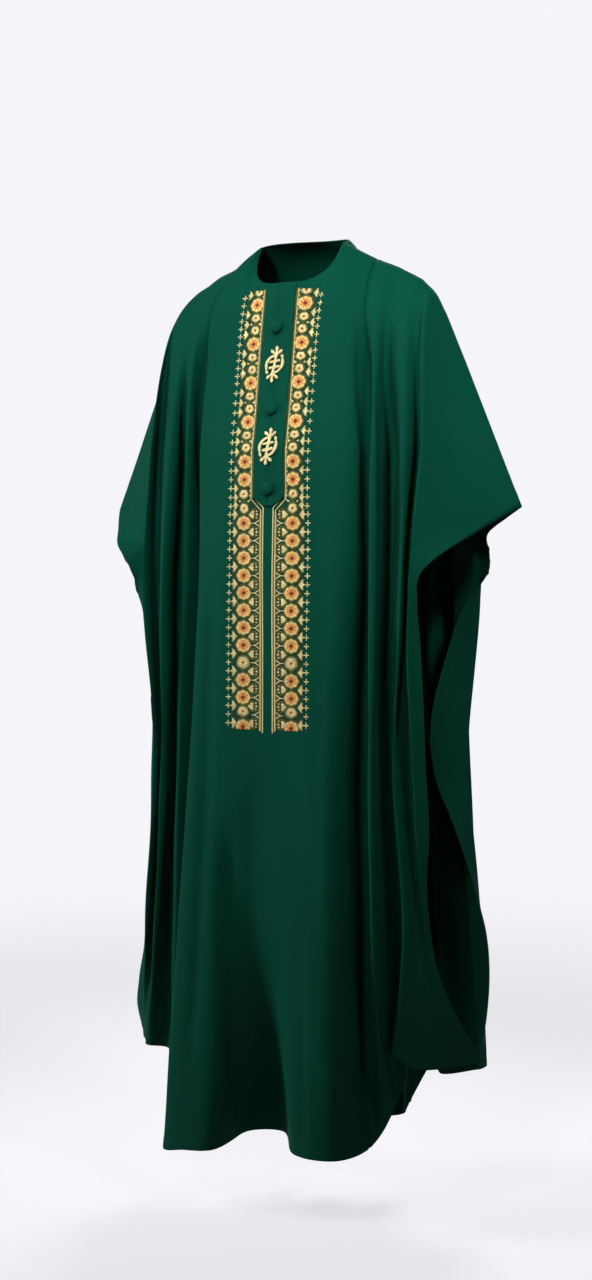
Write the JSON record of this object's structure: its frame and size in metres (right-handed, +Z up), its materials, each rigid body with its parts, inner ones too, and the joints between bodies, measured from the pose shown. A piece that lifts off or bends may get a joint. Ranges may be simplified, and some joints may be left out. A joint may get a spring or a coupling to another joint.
{
  "type": "grand boubou robe",
  "caption": "Wide long flowing robe with open sides, round neck, button placket and raised placket symbols, hanging in folds as worn.",
  "frame": {"origin": "middle between the shoulders that carry the robe, 1.5 m above the wearer's floor", "axes": "+Z up, -Y out of the robe's front, +X to the wearer's left"},
  "size_m": [0.7434, 0.3536, 1.4819],
  "materials": {
    "green_cloth": "deep green smooth woven cloth with a soft sheen",
    "gold_thread": "cream gold satin-stitched thread, raised"
  },
  "bodies": {
    "root": {"right_front_wing": "green_cloth", "front_centre_panel": "green_cloth", "left_front_wing": "green_cloth", "right_back_wing": "green_cloth", "back_centre_panel": "green_cloth", "left_back_wing": "green_cloth", "placket_under": "green_cloth", "placket_over": "green_cloth", "button_1": "green_cloth", "button_2": "green_cloth", "button_3": "green_cloth", "symbol_1": "gold_thread", "symbol_2": "gold_thread"}
  },
  "joints": []
}
